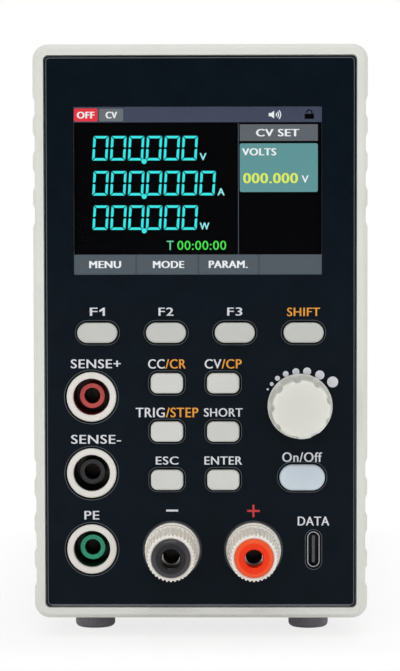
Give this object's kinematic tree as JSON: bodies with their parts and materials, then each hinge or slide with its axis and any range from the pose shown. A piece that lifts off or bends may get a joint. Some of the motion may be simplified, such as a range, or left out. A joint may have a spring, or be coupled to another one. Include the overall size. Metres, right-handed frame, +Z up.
{
  "type": "dc electronic load",
  "caption": "Tall narrow bench electronic load with a display, push keys, a fluted knob, recessed sense sockets, screw-down binding posts and a rear mains inlet and fan.",
  "frame": {"origin": "middle of the overall outline in plan, at the level the rubber feet stand on", "axes": "+Z up, the front panel faces -Y, +X to the right as seen from the front"},
  "size_m": [0.082, 0.2268, 0.146],
  "materials": {
    "case_plastic": "fine matte light grey moulding",
    "panel_black": "glossy near-black printed panel",
    "window_dark": "clear dark display window",
    "lcd_metal": "bent sheet frame",
    "holder_white": "moulded spacer",
    "board_green": "circuit board",
    "switch_black": "moulded",
    "key_grey": "satin light grey",
    "key_blue_grey": "satin blue grey",
    "encoder_metal": "stamped",
    "rotor_black": "moulded",
    "shaft_steel": "turned",
    "knob_cream": "satin moulded",
    "insulator_red": "moulded",
    "insulator_black": "moulded",
    "insulator_green": "moulded",
    "collar_white": "moulded",
    "contact_nickel": "dulled nickel plate",
    "nut_steel": "plated",
    "post_cream": "satin moulded",
    "stud_nickel": "dulled nickel plate",
    "washer_steel": "plated",
    "tip_black": "moulded",
    "tip_red": "moulded",
    "port_steel": "drawn shell",
    "port_black": "moulded",
    "cover_paint": "fine powder coat",
    "rear_paint": "fine powder coat",
    "chassis_steel": "plated sheet",
    "screw_steel": "plated",
    "inlet_black": "moulded",
    "pin_brass": "plated",
    "rocker_black": "moulded",
    "fan_black": "moulded",
    "heatsink_alloy": "extruded",
    "transistor_black": "moulded",
    "transformer_yellow": "taped",
    "capacitor_blue": "sleeved",
    "foot_rubber": "matte"
  },
  "bodies": {
    "housing": {"front_bezel": "case_plastic", "rear_frame": "case_plastic", "front_panel": "panel_black", "display_window": "window_dark", "lcd_module": "lcd_metal", "lcd_holder": "holder_white", "front_board": "board_green", "power_board": "board_green", "tact_switches": "switch_black", "encoder_body": "encoder_metal", "sense_plus_jack": "insulator_red", "sense_minus_jack": "insulator_black", "earth_jack": "insulator_green", "sense_plus_collar": "collar_white", "sense_minus_collar": "collar_white", "earth_collar": "collar_white", "jack_contacts": "contact_nickel", "terminal_nuts": "nut_steel", "negative_collar": "post_cream", "positive_collar": "post_cream", "negative_stud": "stud_nickel", "positive_stud": "stud_nickel", "usb_shell": "port_steel", "usb_tongue": "port_black", "top_cover": "cover_paint", "rear_panel": "rear_paint", "base_chassis": "chassis_steel", "case_screws": "screw_steel", "rear_screws": "screw_steel", "mains_inlet": "inlet_black", "inlet_pins": "pin_brass", "switch_body": "inlet_black", "fan_frame": "fan_black", "heatsink": "heatsink_alloy", "power_transistors": "transistor_black", "aux_transformer": "transformer_yellow", "capacitors": "capacitor_blue", "rubber_feet": "foot_rubber"},
    "f1_key": {"key_f1": "key_grey"},
    "f2_key": {"key_f2": "key_grey"},
    "f3_key": {"key_f3": "key_grey"},
    "shift_key": {"key_shift": "key_grey"},
    "cc_key": {"key_cc": "key_grey"},
    "cv_key": {"key_cv": "key_grey"},
    "trig_key": {"key_trig": "key_grey"},
    "short_key": {"key_short": "key_grey"},
    "esc_key": {"key_esc": "key_grey"},
    "enter_key": {"key_enter": "key_grey"},
    "on_off_key": {"key_on_off": "key_blue_grey"},
    "encoder_turn": {"encoder_rotor": "rotor_black"},
    "knob": {"encoder_shaft": "shaft_steel", "control_knob": "knob_cream"},
    "negative_clamp": {"negative_washer": "washer_steel"},
    "negative_cap": {"negative_nut": "post_cream", "negative_tip": "tip_black"},
    "positive_clamp": {"positive_washer": "washer_steel"},
    "positive_cap": {"positive_nut": "post_cream", "positive_tip": "tip_red"},
    "rocker": {"switch_rocker": "rocker_black"},
    "fan": {"fan_rotor": "fan_black"}
  },
  "joints": [
    {"name": "f1_press", "type": "slide", "parent": "housing", "child": "f1_key", "axis": [0, 1, 0], "range_m": [0, 0.0006], "stiffness_N_per_m": 300},
    {"name": "f2_press", "type": "slide", "parent": "housing", "child": "f2_key", "axis": [0, 1, 0], "range_m": [0, 0.0006], "stiffness_N_per_m": 300},
    {"name": "f3_press", "type": "slide", "parent": "housing", "child": "f3_key", "axis": [0, 1, 0], "range_m": [0, 0.0006], "stiffness_N_per_m": 300},
    {"name": "shift_press", "type": "slide", "parent": "housing", "child": "shift_key", "axis": [0, 1, 0], "range_m": [0, 0.0006], "stiffness_N_per_m": 300},
    {"name": "cc_press", "type": "slide", "parent": "housing", "child": "cc_key", "axis": [0, 1, 0], "range_m": [0, 0.0006], "stiffness_N_per_m": 300},
    {"name": "cv_press", "type": "slide", "parent": "housing", "child": "cv_key", "axis": [0, 1, 0], "range_m": [0, 0.0006], "stiffness_N_per_m": 300},
    {"name": "trig_press", "type": "slide", "parent": "housing", "child": "trig_key", "axis": [0, 1, 0], "range_m": [0, 0.0006], "stiffness_N_per_m": 300},
    {"name": "short_press", "type": "slide", "parent": "housing", "child": "short_key", "axis": [0, 1, 0], "range_m": [0, 0.0006], "stiffness_N_per_m": 300},
    {"name": "esc_press", "type": "slide", "parent": "housing", "child": "esc_key", "axis": [0, 1, 0], "range_m": [0, 0.0006], "stiffness_N_per_m": 300},
    {"name": "enter_press", "type": "slide", "parent": "housing", "child": "enter_key", "axis": [0, 1, 0], "range_m": [0, 0.0006], "stiffness_N_per_m": 300},
    {"name": "on_off_press", "type": "slide", "parent": "housing", "child": "on_off_key", "axis": [0, 1, 0], "range_m": [0, 0.0006], "stiffness_N_per_m": 300},
    {"name": "knob_turn", "type": "hinge", "parent": "housing", "child": "encoder_turn", "pos_m": [0.0244, -0.09727, 0.0575], "axis": [0, -1, 0], "continuous": true},
    {"name": "knob_press", "type": "slide", "parent": "encoder_turn", "child": "knob", "axis": [0, 1, 0], "range_m": [0, 0.0005], "stiffness_N_per_m": 500},
    {"name": "negative_lift", "type": "slide", "parent": "housing", "child": "negative_clamp", "axis": [0, -1, 0], "range_m": [0, 0.005]},
    {"name": "negative_unscrew", "type": "hinge", "parent": "negative_clamp", "child": "negative_cap", "pos_m": [-0.00702, -0.09727, 0.0219], "axis": [0, -1, 0], "range_deg": [0, 1440]},
    {"name": "positive_lift", "type": "slide", "parent": "housing", "child": "positive_clamp", "axis": [0, -1, 0], "range_m": [0, 0.005]},
    {"name": "positive_unscrew", "type": "hinge", "parent": "positive_clamp", "child": "positive_cap", "pos_m": [0.01298, -0.09727, 0.0219], "axis": [0, -1, 0], "range_deg": [0, 1440]},
    {"name": "power_rocker", "type": "hinge", "parent": "housing", "child": "rocker", "pos_m": [0, 0.10843, 0.055], "axis": [0, 0, -1], "range_deg": [0, 18]},
    {"name": "fan_spin", "type": "hinge", "parent": "housing", "child": "fan", "pos_m": [0, 0.10023, 0.104], "axis": [0, 1, 0], "continuous": true}
  ],
  "couplings": [
    {"joint": "negative_unscrew", "follows": "negative_lift", "rad_per_m": 5026.5},
    {"joint": "positive_unscrew", "follows": "positive_lift", "rad_per_m": 5026.5}
  ]
}
